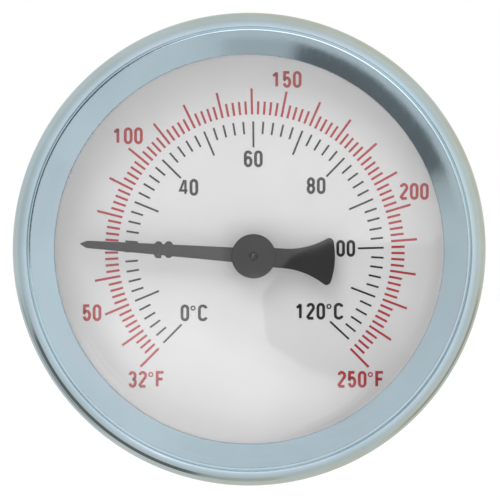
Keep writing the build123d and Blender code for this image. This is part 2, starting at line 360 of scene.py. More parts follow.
def joined(*meshes):
    """Several pairs of points and faces as one pair."""
    points, faces, count = [], [], 0
    for some_points, some_faces in meshes:
        points.append(some_points)
        faces.extend((np.asarray(face) + count).tolist() for face in some_faces)
        count += len(some_points)
    return np.vstack(points), faces


def layers(rows):
    """Flat paths in X and Z, each lifted to its own Y, as one array of path, point and X, Y, Z."""
    return np.stack([np.column_stack([p[:, 0], np.full(len(p), y), p[:, 1]]) for p, y in rows])


def slabs(left, right, base, height):
    """Closed low slabs from the two edges of flat strips, in X and Z, rising towards -Y."""
    top = base - height
    rows = [(left, top), (right, top), (right, base), (left, base)]
    return layers(rows).swapaxes(0, 1).reshape(-1, 3)


def stroke(path, width, base, height, closed=False):
    """A pen stroke of even width along a flat path, as a low closed slab.

    Each point is pushed sideways by half the width along the mean of its neighbours' normals,
    over the cosine of half the turn, so that the edges stay parallel to the path. The cosine's
    square is held to 0.3 or more, which cuts the sharpest corners short.
    """
    path = np.asarray(path, float)
    ahead = np.roll(path, -1, axis=0) - path
    ahead /= np.maximum(np.linalg.norm(ahead, axis=1), 1e-12)[:, None]
    back = np.roll(ahead, 1, axis=0)
    if not closed:
        back[0], ahead[-1] = ahead[0], back[-1]
    normal = np.column_stack([-(ahead + back)[:, 1], (ahead + back)[:, 0]])
    normal /= np.linalg.norm(normal, axis=1)[:, None]
    spread = np.sqrt(np.clip((1 + np.sum(ahead * back, axis=1)) / 2, 0.3, 1))
    side = normal * (width / 2 / spread)[:, None]
    points = slabs(path + side, path - side, base, height)
    faces = grid_faces(len(path), 4, wrap_rows=closed, wrap_columns=True).tolist()
    if not closed:
        last = 4 * (len(path) - 1)
        faces += [[3, 2, 1, 0], [last, last + 1, last + 2, last + 3]]
    return points, faces


def arc(centre, radii, start, end, steps=15):
    """Part of an ellipse, x = cx + rx cos(a), z = cz + rz sin(a), with a in degrees."""
    a = np.radians(np.linspace(start, end, steps))
    return np.column_stack([centre[0] + radii[0] * np.cos(a), centre[1] + radii[1] * np.sin(a)])


def object_from(name, points, faces, material, smooth=35.0):
    """An object at the origin, shaded smooth except at edges sharper than an angle in degrees."""
    mesh = bpy.data.meshes.new(name)
    mesh.from_pydata(np.asarray(points).tolist(), [], np.asarray(faces, dtype=object).tolist())
    work = bmesh.new()
    work.from_mesh(mesh)
    bmesh.ops.remove_doubles(work, verts=work.verts, dist=WELD)
    work.to_mesh(mesh)
    work.free()
    mesh.shade_smooth()
    mesh.set_sharp_from_angle(angle=math.radians(smooth))
    mesh.materials.append(material)
    made = bpy.data.objects.new(name, mesh)
    bpy.context.scene.collection.objects.link(made)
    return made


def turned_object(name, section, place, material, segments=SEGMENTS, closed=True, smooth=35.0):
    """A half section carried round a place's axis, as an object."""
    points, faces = turned_grid(section, place.axis, segments, closed)
    return object_from(name, points, faces, material, smooth)


# Finishes


def add_node(tree, kind, inputs=(), **values):
    """Adds a shader node, sets its values and joins or fills its inputs by number or name."""
    made = tree.nodes.new("ShaderNode" + kind)
    for key, value in values.items():
        setattr(made, key, value)
    for key, value in dict(inputs).items():
        if isinstance(value, bpy.types.NodeSocket):
            tree.links.new(value, made.inputs[key])
        else:
            made.inputs[key].default_value = value
    return made


class Finish:
    """A node material: one Principled shader, and short calls that add what drives it."""

    def __init__(self, name, **values):
        self.material = bpy.data.materials.new(name)
        self.material.use_nodes = True
        self.tree = self.material.node_tree
        self.shader = self.tree.nodes["Principled BSDF"]
        for socket, value in values.items():
            self.shader.inputs[socket.replace("_", " ")].default_value = value

    def node(self, kind, inputs=(), **values):
        return add_node(self.tree, kind, inputs, **values)

    def vector(self, operation, one, other):
        return self.node("VectorMath", {0: one, 1: other}, operation=operation).outputs[0]

    def place(self, scale=(1, 1, 1), centre=(0, 0)):
        """Object coordinates, measured from an axis that is parallel to Y, then scaled."""
        position = self.node("TexCoord").outputs["Object"]
        moved = self.vector("SUBTRACT", position, (centre[0], 0, centre[1]))
        return self.vector("MULTIPLY", moved, scale)

    def round_place(self, centre, across, along, about):
        """Radius, Y and angle about an axis, each times its own scale, and the plain radius.

        A pattern read at these places runs round the axis.
        """
        x, y, z = self.node("SeparateXYZ", {0: self.place(centre=centre)}).outputs
        flat = self.node("CombineXYZ", {0: x, 1: z}).outputs[0]
        radius = self.node("VectorMath", {0: flat}, operation="LENGTH").outputs["Value"]
        turn = self.node("Math", {0: z, 1: x}, operation="ARCTAN2").outputs[0]
        scaled = self.node("CombineXYZ", {0: radius, 1: y, 2: turn}).outputs[0]
        return self.vector("MULTIPLY", scaled, (across, along, about)), radius

    def noise(self, vector, scale=1.0, detail=3.0, roughness=0.55):
        values = {"Vector": vector, "Scale": scale, "Detail": detail, "Roughness": roughness}
        return self.node("TexNoise", values).outputs["Fac"]

    def spread(self, value, low, high, to_low=0.0, to_high=1.0):
        """A value brought from one range to another with soft ends."""
        values = dict(enumerate((value, low, high, to_low, to_high)))
        return self.node("MapRange", values, interpolation_type="SMOOTHSTEP").outputs[0]

    def times(self, total, *others):
        for other in others:
            total = self.node("Math", {0: total, 1: other}, operation="MULTIPLY").outputs[0]
        return total

    def mixed(self, factor, *ends):
        """A colour between two, each a socket or plain."""
        is_socket = [isinstance(end, bpy.types.NodeSocket) for end in ends]
        low, high = (end if one else (*end[:3], 1.0) for end, one in zip(ends, is_socket))
        return self.node("Mix", {0: factor, 6: low, 7: high}, data_type="RGBA").outputs[2]

    def drive(self, socket, value):
        self.tree.links.new(value, self.shader.inputs[socket])
        return self

    def instead(self, share, one, other):
        """Puts a mix of two other shaders in place of the Principled one."""
        self.tree.nodes.remove(self.shader)
        mix = self.node("MixShader", {0: share, 1: one, 2: other})
        self.tree.links.new(mix.outputs[0], self.tree.nodes["Material Output"].inputs["Surface"])
        return self.material

    def tint(self, pattern, low, high, dark, light, most=1.0):
        """Base colour from dark towards light while a pattern goes from low to high."""
        share = self.spread(pattern, low, high, 0.0, most)
        return self.drive("Base Color", self.mixed(share, dark, light))

    def shine(self, pattern, low, high, start, end):
        """Roughness from a start to an end value while a pattern goes from low to high."""
        return self.drive("Roughness", self.spread(pattern, low, high, start, end))

    def bump(self, height, distance):
        """Relief, on top of any that is there already."""
        values = {"Height": height, "Distance": distance}
        last = self.shader.inputs["Normal"].links
        if last:
            values["Normal"] = last[0].from_socket
        return self.drive("Normal", self.node("Bump", values).outputs[0])


def dimmed(rgb, share):
    """A colour times a share."""
    return tuple(share * part for part in rgb)


def tinted(rgb, *shares):
    """A colour with each of its parts times its own share."""
    return tuple(share * part for share, part in zip(shares, rgb))


def zinc_plate(name, base, warm, roughness, place, warm_from, warm_to):
    """Bright zinc with a pale blue film, patchy, with handling marks and fine peel.

    The colour turns warmer from one radius to another, at the front, and more to the right
    than to the left.
    """
    finish = Finish(name, Metallic=1.0)
    clouds = finish.noise(finish.place(), scale=90, detail=4)
    tone = finish.mixed(finish.spread(clouds, 0.3, 0.7), dimmed(base, 0.95), dimmed(base, 1.04))
    rings, radius = finish.round_place(place.axis, 9000, 9000, 3)
    x, y = finish.node("SeparateXYZ", {0: finish.place()}).outputs[:2]
    left, middle_right = place.x - place.radius, place.x + place.radius * 0.5
    patches = finish.noise(finish.place(), scale=260, detail=2)
    # share of the warmer colour: from one radius to another, at the front, more on the right than
    # on the left
    warm_share = finish.times(
        finish.spread(radius, warm_from, warm_to),
        finish.spread(y, place.front + 1.5 * MM, place.front + 3 * MM, 1, 0.15),
        finish.spread(patches, 0.2, 0.75, 0.55, 1),
        finish.spread(x, left, middle_right, 0.35, 1),
    )
    bands = finish.round_place(place.axis, 900, 900, 1.6)[0]
    film = finish.spread(finish.noise(bands, detail=2), 0.48, 0.72, 0, 0.55)
    tone = finish.mixed(film, tone, tinted(base, 1.12, 0.98, 1.0))
    pale = finish.spread(finish.noise(finish.place(), scale=48, detail=2), 0.55, 0.75, 0, 0.4)
    tone = finish.mixed(pale, tone, tinted(base, 1.1, 1.05, 0.95))
    finish.drive("Base Color", finish.mixed(warm_share, tone, warm))
    marks = finish.noise(finish.place((1, 1, 0.12)), scale=2600, detail=2)
    finish.shine(marks, 0.3, 0.8, roughness * 0.85, roughness * 1.3)
    finish.bump(finish.noise(finish.place(), scale=700, detail=2), 2.5 * UM)
    finish.bump(finish.noise(rings, detail=1), 0.6 * UM)
    return finish.material


def clear_window():
    """Clear sheet: what lies behind shows through, and each face mirrors by Fresnel's law.

    The index is turned over where a ray meets a face from inside, so both ways mirror alike.
    """
    index = bpy.context.scene.window_settings.index
    finish = Finish("clear window")
    smears = finish.noise(finish.place(), scale=140, detail=3)
    roughness = finish.spread(smears, 0.35, 0.75, 0.035, 0.06)
    gloss = finish.node("BsdfGlossy", {"Roughness": roughness}).outputs[0]
    through = finish.node("BsdfTransparent", {"Color": (0.99, 0.988, 0.99, 1)}).outputs[0]
    inside = finish.node("NewGeometry").outputs["Backfacing"]
    facing_index = finish.spread(inside, 0, 1, index, 1 / index)
    share = finish.node("Fresnel", {"IOR": facing_index}).outputs[0]
    return finish.instead(share, through, gloss)


def painted(name, rgb, roughness, peel=4 * UM, spots=0.03):
    """Even paint or ink with slight orange peel and faint cloudiness."""
    finish = Finish(name, Specular_IOR_Level=0.4)
    clouds = finish.noise(finish.place(), scale=160, detail=4)
    finish.tint(clouds, 0.3, 0.7, dimmed(rgb, 1 - spots), rgb)
    fine = finish.noise(finish.place(), scale=2400, detail=2)
    finish.shine(fine, 0.25, 0.75, roughness * 0.9, roughness * 1.1)
    return finish.bump(fine, peel).material


def brass(name, rgb, place, drawn=False, roughness=0.17):
    """Brass: turned pieces carry fine rings round their axis, drawn tube fine lines along it."""
    finish = Finish(name, Metallic=1.0)
    if drawn:
        lines = finish.place((4200, 60, 4200), place.axis)
    else:
        lines = finish.round_place(place.axis, 5200, 5200, 2)[0]
    tarnish = finish.noise(finish.place(), scale=220, detail=5, roughness=0.6)
    finish.tint(tarnish, 0.42, 0.8, rgb, tinted(rgb, 0.72, 0.62, 0.55), most=0.45)
    finish.shine(tarnish, 0.3, 0.8, roughness, roughness * 1.7)
    return finish.bump(finish.noise(lines, detail=2), 3 * UM).material


def steel(name, rgb, roughness, stretch=(1, 1, 1)):
    """Bare or dark steel with a fine grain, which may be stretched along one direction."""
    finish = Finish(name, Metallic=1.0)
    grain = finish.noise(finish.place(stretch), scale=3200, detail=3)
    finish.tint(grain, 0.3, 0.7, dimmed(rgb, 0.85), rgb)
    finish.shine(grain, 0.25, 0.75, roughness * 0.8, roughness * 1.25)
    return finish.bump(grain, 3 * UM).material


def struck_steel(name):
    """Ground steel, dark and rough where the head was struck."""
    finish = Finish(name, Metallic=1.0)
    blows = finish.noise(finish.place(), scale=2300, detail=4)
    finish.tint(blows, 0.5, 0.75, (0.03, 0.03, 0.031), (0.2, 0.19, 0.185))
    finish.shine(blows, 0.3, 0.7, 0.45, 0.22)
    return finish.bump(blows, 120 * UM).material


def fibre(name, rgb):
    """Pressed vulcanised fibre: mottled, with short threads."""
    finish = Finish(name)
    threads = finish.noise(finish.place((1, 5, 1)), scale=900, detail=6, roughness=0.7)
    finish.tint(threads, 0.3, 0.7, dimmed(rgb, 0.6), dimmed(rgb, 1.25))
    finish.shine(threads, 0.3, 0.7, 0.55, 0.8)
    return finish.bump(threads, 30 * UM).material


def moulded(name, rgb, roughness):
    """Plain moulded rubber or plastic with a fine matt texture."""
    finish = Finish(name)
    texture = finish.noise(finish.place(), scale=4000, detail=2)
    finish.tint(texture, 0.3, 0.7, dimmed(rgb, 0.9), rgb)
    finish.shine(texture, 0.3, 0.7, roughness * 0.9, roughness * 1.1)
    return finish.bump(texture, 6 * UM).material


# Pieces


def ring_section(settings):
    """Closed section of the ring: crimped edge, skirt, bead, groove, shoulder, cone and lip."""
    sheet, slope, shoulder_bend = settings.sheet, settings.cone, settings.shoulder
    outer, crest, back = RING.radius, RING.front, RING.back
    wall = CASE.radius - bpy.context.scene.case_settings.flange
    crimp = wall + settings.crimp_gap
    bead_crest = outer - settings.bead
    shoulder = bead_crest - settings.bead_flat
    view, lip = settings.view_radius, crest + (shoulder - settings.view_radius) * math.tan(slope)
    groove, half = bead_crest - settings.groove_inset, settings.groove_width / 2
    crown, tilt, fall, edge = settings.crown, settings.bead_tilt, 0.01 * MM, 0.1 * MM
    reach = (shoulder - view) / 2
    middle = (view + reach, crest + reach * math.tan(slope - crown))
    bow = 0.95 * reach / math.cos(slope) / math.tan(crown)  # its arc ends just inside the cone
    corners_and_radii = [
        ((crimp, back), edge),
        ((outer, back), settings.crimp_bend),
        ((outer, crest + fall + (outer - groove) * math.tan(tilt)), settings.bead),
        ((groove + half, crest + fall), edge),
        ((groove, crest + settings.groove_depth), 0.02 * MM),
        ((groove - half, crest), edge),
        ((shoulder, crest), shoulder_bend),
        (middle, bow),
        ((view, lip), 0.2 * MM),
        ((view + sheet * math.sin(slope), lip + sheet * math.cos(slope)), 0.12 * MM),
        ((shoulder + sheet * math.tan(slope / 2), crest + sheet), shoulder_bend - sheet),
        ((outer - sheet, crest + sheet), settings.bead - sheet),
        ((outer - sheet, back - sheet), settings.crimp_bend - sheet),
        ((crimp, back - sheet), edge),
    ]
    return rounded_loop(*zip(*corners_and_radii), steps=14)


class MakeRing(bpy.types.Operator):
    """Pressed and plated ring that is crimped round the case"""

    bl_idname = "thermometer.make_ring"
    bl_label = "Ring"

    def execute(self, context):
        s = context.scene.ring_settings
        warm_from, warm_to = RING.radius - 1.8 * MM, RING.radius - 0.12 * MM
        material = zinc_plate(
            "blue zinc plate, ring", s.plate, s.plate_warm, s.roughness, RING, warm_from, warm_to
        )
        ring = turned_object("plated_ring", ring_section(s), RING, material, 384, smooth=50)
        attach(ring, "root")
        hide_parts("bezel_ring")
        return {"FINISHED"}


def bow_radius(run, rise):
    """Radius of an arc that starts level and rises by so much over a run."""
    return (run**2 + rise**2) / (2 * rise)


def window_dome():
    """Radius of the window's dome at its rim, and its rise."""
    scene = bpy.context.scene
    opening = scene.ring_settings.view_radius - scene.window_settings.rim_overlap
    return opening, WINDOW.back - scene.window_settings.thickness - WINDOW.front


class MakeWindow(bpy.types.Operator):
    """Clear domed window with a flat rim"""

    bl_idname = "thermometer.make_window"
    bl_label = "Window"

    def execute(self, context):
        thickness, edge = context.scene.window_settings.thickness, 0.15 * MM
        front, back = WINDOW.back - thickness, WINDOW.back
        dome, rise = window_dome()
        hollow = dome - thickness / 2
        rim = [(dome, front), (WINDOW.radius, front), (WINDOW.radius, back), (hollow, back)]
        section = np.vstack([
            self.cap(dome, front, rise),
            rounded(rim, [edge] * 2)[1:],
            self.cap(hollow, back, rise)[::-1][1:],
        ])
        window = turned_object(
            "domed_window", section, WINDOW, clear_window(), closed=False, smooth=30
        )
        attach(window, "root")
        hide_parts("window")
        return {"FINISHED"}

    @staticmethod
    def cap(radius, rim, rise, steps=40):
        """Arc from the axis to the rim: y = rim - rise + bow - sqrt(bow^2 - r^2), with the bow's
        radius (radius^2 + rise^2) / (2 rise).
        """
        bow = bow_radius(radius, rise)
        r = np.linspace(0, radius, steps)
        return np.column_stack([r, rim - rise + bow - np.sqrt(bow**2 - r**2)])


class MakeDial(bpy.types.Operator):
    """White enamelled dial plate"""

    bl_idname = "thermometer.make_dial"
    bl_label = "Dial"

    def execute(self, context):
        settings = context.scene.dial_settings
        section = DIAL.flat_ring(settings.hole, 0.06 * MM)
        enamel = painted("dial enamel", settings.paint, 0.42)
        dial = turned_object("enamelled_dial", section, DIAL, enamel)
        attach(dial, "root")
        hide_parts("dial_plate")
        return {"FINISHED"}


def celsius_angle(value):
    """Where a Celsius value stands on the dial, anticlockwise from +X."""
    return SCALE_START - SCALE_SPAN * np.asarray(value, float) / CELSIUS_END


def fahrenheit_angle(value):
    """Where a Fahrenheit value stands on the same dial."""
    return celsius_angle((np.asarray(value, float) - FREEZING) / 1.8)


def ticks(angles, inner, outer, width, register):
    """Straight radial ticks about the print's own centre, as closed low slabs, all together."""
    centre = np.asarray(DIAL.axis) + np.asarray(register)
    along = np.column_stack([np.cos(angles), np.sin(angles)])
    side = np.column_stack([-along[:, 1], along[:, 0]]) * width / 2
    near = centre + along * np.broadcast_to(inner, angles.shape)[:, None]
    far = centre + along * np.broadcast_to(outer, angles.shape)[:, None]
    left = np.stack([near + side, far + side], axis=1).reshape(-1, 2)
    right = np.stack([near - side, far - side], axis=1).reshape(-1, 2)
    points = slabs(left, right, DIAL.front, bpy.context.scene.dial_settings.ink)
    tube = grid_faces(2, 4, wrap_columns=True).tolist() + [[3, 2, 1, 0], [4, 5, 6, 7]]
    faces = np.asarray(tube)[None] + 8 * np.arange(len(angles))[:, None, None]
    return points, faces.reshape(-1, 4)


DEGREE_RADIUS = 0.26 * MM
DEGREE_DROP = 0.14 * MM  # from the numerals' top line down to the degree sign's
DEGREE_GAP = 0.16 * MM  # from a numeral to the degree sign
LETTER_GAP = 0.1 * MM  # from the degree sign to its letter
CROWDED = {"4": 0.8}  # signs drawn with a narrower pen, and the share of its width


def digit_strokes(sign, w, h):
    """Centre lines of one sign in a box w wide and h high, as pairs of path and whether closed."""
    r, e = w / 2, w * 0.56
    if sign == "0":
        return [(np.vstack([arc((r, h - e), (r, e), 0, 180), arc((r, e), (r, e), 180, 360)]), True)]
    if sign == "1":
        flag = [(r - 0.66 * w, 0.78 * h), (r - 0.3 * w, 0.83 * h), (r, h)]
        return [([(r, 0), (r, h)], False), (flag, False)]
    if sign == "2":
        neck = np.vstack([arc((r, h - e), (r, e), 170, -28), [(0.02 * w, 0.12 * h), (0.02 * w, 0)]])
        return [(neck, False), ([(0, 0), (w, 0)], False)]
    if sign == "3":
        top, foot = 0.26 * h, 0.28 * h
        upper = arc((r, h - top), (0.94 * r, top), 165, -90)
        lower = arc((r, foot), (r, foot), 90, -165)
        return [(upper, False), (lower, False)]
    if sign == "4":
        post, bar = 0.86 * w, 0.25 * h
        slant = [(0.66 * w, h), (-0.06 * w, bar), (1.2 * w, bar)]
        return [([(post, 0), (post, h)], False), (slant, False)]
    if sign == "5":
        bowl = arc((r, 0.31 * h), (r, 0.31 * h), 145, -165)
        return [(np.vstack([[(0.94 * w, h), (0.1 * w, h), (0.05 * w, 0.5 * h)], bowl]), False)]
    if sign == "6":
        top = arc((r, h - e), (r, e), 15, 180)
        loop = arc((r, 0.3 * h), (r, 0.3 * h), 180, 540, 28)
        return [(np.vstack([top, loop]), False)]
    if sign == "8":
        upper = arc((r, 0.755 * h), (0.92 * r, 0.245 * h), 0, 345, 24)
        lower = arc((r, 0.265 * h), (r, 0.265 * h), 0, 345, 24)
        return [(upper, True), (lower, True)]
    if sign == "C":
        wide = 1.2 * r
        top, foot = arc((wide, h - e), (wide, e), 12, 180), arc((wide, e), (wide, e), 180, 348)
        return [(np.vstack([top, foot]), False)]
    if sign == "F":
        arm = [(0, 0.52 * h), (0.95 * w, 0.52 * h)]
        return [([(0, 0), (0, h), (1.1 * w, h)], False), (arm, False)]
    if sign == "°":
        small = DEGREE_RADIUS
        return [(arc((small, h - small - DEGREE_DROP), (small, small), 0, 345, 20), True)]
    raise ValueError(f"no strokes for {sign}")


def lettering(text, centre, settings):
    """One upright label, centred on a point given from the dial's axis in millimetres."""
    pen = settings.digit_stroke
    shares = {"°": settings.fine_strokes, **CROWDED}
    w, h = settings.digit_width - pen, settings.digit_height - pen
    paths, cursor = [], 0.0
    for sign, after in zip(text, text[1:] + " "):
        width = pen * shares.get(sign, 1.0)
        lift = (pen - width) / 2
        for path, closed in digit_strokes(sign, w, h):
            paths.append((np.asarray(path) + (cursor - lift, lift), width, closed))
        if sign == "°":
            cursor += 2 * DEGREE_RADIUS + pen + LETTER_GAP
        elif after == "°":
            cursor += w + pen + DEGREE_GAP
        else:
            cursor += settings.digit_step
    every = np.vstack([path for path, width, closed in paths])
    middle = (every.max(axis=0) + every.min(axis=0)) / 2
    shift = np.asarray(DIAL.axis) + np.asarray(centre) * MM - middle
    front, ink = DIAL.front, settings.ink
    return [stroke(path + shift, width, front, ink, closed) for path, width, closed in paths]


RED_LABELS = {
    "32°F": (-14.40, -17.26),
    "50": (-21.72, -8.34),
    "100": (-16.93, 15.36),
    "150": (4.33, 22.90),
    "200": (21.43, 7.91),
    "250°F": (14.30, -17.26),
}
BLACK_LABELS = {
    "0°C": (-8.04, -8.36),
    "20": (-12.13, 0.11),
    "40": (-8.80, 8.48),
    "60": (-0.12, 12.27),
    "80": (8.29, 8.68),
    "100": (11.52, 0.28),
    "120°C": (8.73, -8.14),
}


def printed(name, rgb, marks, labels, settings):
    """One colour of the print, as a single piece: its ticks and its labels."""
    meshes = [marks]
    for text, centre in labels.items():
        meshes += lettering(text, centre, settings)
    ink = painted(name.replace("_", " "), rgb, 0.5, 2 * UM)
    made = object_from(name, *joined(*meshes), ink)
    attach(made, "root")
    return made


class MakePrint(bpy.types.Operator):
    """Ticks and numerals of the Celsius and Fahrenheit scales"""

    bl_idname = "thermometer.make_print"
    bl_label = "Printed scales"

    def execute(self, context):
        s = context.scene.dial_settings
        celsius = np.arange(0, CELSIUS_END + 1, 2)
        inner = np.where(celsius % 10 == 0, s.black_long, s.black_short)
        angles = celsius_angle(celsius) - s.black_lag * np.sin(np.pi * celsius / CELSIUS_END)
        black = ticks(angles, inner, s.black_outer, s.black_stroke, s.black_register)
        printed("celsius_scale", s.black, black, BLACK_LABELS, s)
        fahrenheit = np.arange(FREEZING, FAHRENHEIT_END + 1, 2)
        long_tick = (fahrenheit % 10 == 0) | (fahrenheit == FREEZING)
        outer = np.where(long_tick, s.red_long, s.red_short)
        angles = fahrenheit_angle(fahrenheit)
        red = ticks(angles, s.red_inner, outer, s.red_stroke, s.red_register)
        printed("fahrenheit_scale", s.red, red, RED_LABELS, s)
        return {"FINISHED"}


def pointer_outline(s):
    """Outline of the plate with its arm along +X, anticlockwise.

    The tail's sides are arcs that leave the neck straight and reach half the tail's width, with
    radius (run^2 + rise^2) / (2 rise). Its end is an arc about the axis. Each corner arc touches
    both: its centre lies at the end arc's radius less its own from the axis, and at the side
    arc's radius plus its own from the side arc's centre.
    """
    neck, end = s.tail_neck / 2, s.tail_width / 2
    run = math.sqrt(s.tail_reach**2 - end**2) - s.tail_start
    rise = end - neck
    side_radius = bow_radius(run, rise)
    side_centre = np.array([-s.tail_start, neck + side_radius])
    near, far = s.tail_reach - s.tail_corner, side_radius + s.tail_corner
    apart = np.linalg.norm(side_centre)
    along = (near**2 - far**2 + apart**2) / (2 * apart)
    across = math.sqrt(near**2 - along**2)
    unit = side_centre / apart
    corner = unit * along + np.array([-unit[1], unit[0]]) * across
    to_side = math.degrees(math.atan2(*(side_centre - corner)[::-1]))
    from_axis = math.degrees(math.atan2(corner[1], corner[0]))
    side_end = to_side + 180.0 if to_side < 90.0 else to_side - 180.0
    side = arc(side_centre, (side_radius,) * 2, 270.0, side_end, 24)
    round_corner = arc(corner, (s.tail_corner,) * 2, to_side, from_axis, 12)
    tail_end = arc((0, 0), (s.tail_reach,) * 2, from_axis, 180.0, 12)
    inside_hub = -0.6 * s.hub
    upper = np.vstack([
        [(s.reach, s.blunt / 2), (s.reach - s.point, s.tip_width / 2)],
        [(0, s.root_width / 2), (inside_hub, neck)],
        side, round_corner[1:], tail_end[1:],
    ])
    lower = upper[::-1][1:] * (1, -1)
    return np.vstack([upper, lower])


def plate_grid(outline, front, back, bevel):
    """A flat plate with broken edges: four rings of the outline, and a face over each end.

    The rings are the outline moved inwards by the bevel at the back, the outline itself twice,
    and the outline moved inwards again at the front.
    """
    ahead = np.roll(outline, -1, axis=0) - np.roll(outline, 1, axis=0)
    ahead /= np.linalg.norm(ahead, axis=1)[:, None]
    inward = np.column_stack([-ahead[:, 1], ahead[:, 0]])
    small = outline + inward * bevel
    rows = [(small, back), (outline, back - bevel), (outline, front + bevel), (small, front)]
    count = len(outline)
    faces = grid_faces(4, count, wrap_columns=True)[:, ::-1].tolist()
    faces += [list(range(count - 1, -1, -1)), list(range(3 * count, 4 * count))]
    return layers(rows).reshape(-1, 3), faces


class MakePointer(bpy.types.Operator):
    """Stamped black pointer with its dished hub"""

    bl_idname = "thermometer.make_pointer"
    bl_label = "Pointer"

    def execute(self, context):
        s = context.scene.pointer_settings
        back, front = POINTER_HIGH[1], POINTER_HIGH[1] - s.thickness
        along, across = math.cos(REST_ANGLE), math.sin(REST_ANGLE)
        outline = pointer_outline(s) @ np.array([[along, across], [-across, along]])
        plate = plate_grid(outline + SPINDLE.axis, front, back, s.bevel)
        hub = turned_grid(self.hub_section(s, back), SPINDLE.axis, 128)
        lacquer = painted("pointer lacquer", s.lacquer, 0.38, 5 * UM, 0.15)
        pointer = object_from("black_pointer", *joined(plate, hub), lacquer, smooth=40)
        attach(pointer, "pointer")
        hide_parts("pointer")
        return {"FINISHED"}

    @staticmethod
    def hub_section(s, back):
        """Hub disc: bore, dish rising as half a cosine wave to the rim, rounded edge, flat back."""
        top, bore, dish = POINTER_LOW[1], SPINDLE.radius, s.hub - s.hub_rim
        share = np.linspace(0, 1, 24)
        depth = s.hub_dish * (1 + np.cos(np.pi * share)) / 2
        rising = np.column_stack([bore + (dish - bore) * share, top + depth])
        corners = [(dish, top), (s.hub, top), (s.hub, back), (bore, back)]
        return np.vstack([rising, rounded(corners, [s.hub_round, 0.05 * MM], 12)[1:]])


class MakeSpindle(bpy.types.Operator):
    """Spindle with its headed front end"""

    bl_idname = "thermometer.make_spindle"
    bl_label = "Spindle"

    def execute(self, context):
        r, front, back = SPINDLE.radius, SPINDLE.front, SPINDLE.back
        head = 0.12 * MM
        section = rounded(
            [(0, front), (0.55 * r, front), (r, front + head), (r, back), (0, back)],
            [0.2 * MM, 0.15 * MM, 0.05 * MM],
        )
        material = struck_steel("struck steel")
        spindle = turned_object("headed_spindle", section, SPINDLE, material, 48, closed=False)
        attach(spindle, "pointer")
        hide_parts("spindle")
        return {"FINISHED"}


class MakeCase(bpy.types.Operator):
    """Pressed and plated case"""

    bl_idname = "thermometer.make_case"
    bl_label = "Case"

    def execute(self, context):
        s = context.scene.case_settings
        warm, warm_from, warm_to = dimmed(s.plate, 0.96), 20 * MM, 30 * MM
        material = zinc_plate(
            "blue zinc plate, case", s.plate, warm, s.roughness, CASE, warm_from, warm_to
        )
        case = turned_object("plated_case", self.section(s), CASE, material, 320, smooth=50)
        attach(case, "root")
        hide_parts("case_shell")
        return {"FINISHED"}

    @staticmethod
    def section(s):
        """Outer skin from the flange to the neck's hole, then the inner skin back, a sheet away."""
        t, bend, tight, rim = s.sheet, 0.3 * MM, 0.2 * MM, 0.08 * MM
        wall = CASE.radius - s.flange
        back_wall = wall - s.ledge
        flange_back, ledge, floor = CASE.front + t, DIAL.back + t, CASE.back
        rib_out, rib_in = s.rib_radius + s.rib_width / 2, s.rib_radius - s.rib_width / 2
        slope, lift, rib_bend = s.rib_width / 3, s.rib_height, 0.5 * MM
        lean = t * math.tan(math.atan2(lift, slope) / 2)
        corners_and_radii = [
            ((CASE.radius, flange_back), rim),
            ((wall, flange_back), bend),
            ((wall, ledge), t + tight),
            ((back_wall, ledge), 0.35 * MM),
            ((back_wall, floor), s.back_bend),
            ((rib_out, floor), rib_bend),
            ((rib_out - slope, floor - lift), rib_bend),
            ((rib_in + slope, floor - lift), rib_bend),
            ((rib_in, floor), rib_bend),
            ((s.neck_hole, floor), rim),
            ((s.neck_hole, floor - t), rim),
            ((rib_in - lean, floor - t), rib_bend),
            ((rib_in + slope - lean, floor - lift - t), rib_bend),
            ((rib_out - slope + lean, floor - lift - t), rib_bend),
            ((rib_out + lean, floor - t), rib_bend),
            ((back_wall - t, floor - t), s.back_bend - t),
            ((back_wall - t, ledge - t), 0.85 * MM),
            ((wall - t, ledge - t), tight),
            ((wall - t, flange_back - t), bend + t),
            ((CASE.radius, flange_back - t), rim),
        ]
        return rounded_loop(*zip(*corners_and_radii), steps=9)


class MakeNeck(bpy.types.Operator):
    """Turned brass neck with spanner flats, and the fibre washer in front of it"""

    bl_idname = "thermometer.make_neck"
    bl_label = "Neck and washer"

    def execute(self, context):
        s = context.scene.neck_settings
        points, faces = turned_grid(self.section(s), NECK.axis, 192)
        self.cut_flats(points, s)
        turned = brass("turned brass, neck", s.brass, NECK)
        neck = object_from("turned_neck", points, faces, turned, smooth=28)
        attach(neck, "root")
        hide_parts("neck")
        section = WASHER.flat_ring(WASHER_HOLE, 0.12 * MM)
        pressed = fibre("vulcanised fibre", s.fibre)
        washer = turned_object("fibre_washer", section, WASHER, pressed, 160)
        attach(washer, "root")
        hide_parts("neck_washer")
        return {"FINISHED"}

    @staticmethod
    def section(s):
        """Spigot, collar, stem root and the tail inside the tube, with the bore back to the front.

        Two rows of points close together mark the end of the spanner flats.
        """
        c, root = s.chamfer, TUBE.front
        front, back, collar = NECK.front, NECK.back, NECK.radius
        collar_front = -s.collar_length
        flats_end = collar_front + s.flats_length
        step = 0.02 * MM
        tail = TUBE.radius - TUBE_WALL
        seat_end = front + SEAT_DEPTH
        return np.array([
            (BUSH_SEAT, front), (SPIGOT - c, front), (SPIGOT, front + c), (SPIGOT, collar_front),
            (collar - c, collar_front), (collar, collar_front + c), (collar, flats_end - step),
            (collar, flats_end), (collar, -c), (collar - c, 0),
            (TUBE.radius, 0), (TUBE.radius, root), (tail, root), (tail, back),
            (NECK_BORE, back), (NECK_BORE, seat_end), (BUSH_SEAT, seat_end),
        ])

    @staticmethod
    def cut_flats(points, s):
        """Moves what stands out past the two flats, along the collar's first stretch, onto them."""
        near = points[:, 1] < -s.collar_length + s.flats_length - 0.01 * MM
        points[near, 0] = np.clip(points[near, 0], -s.flats / 2, s.flats / 2)


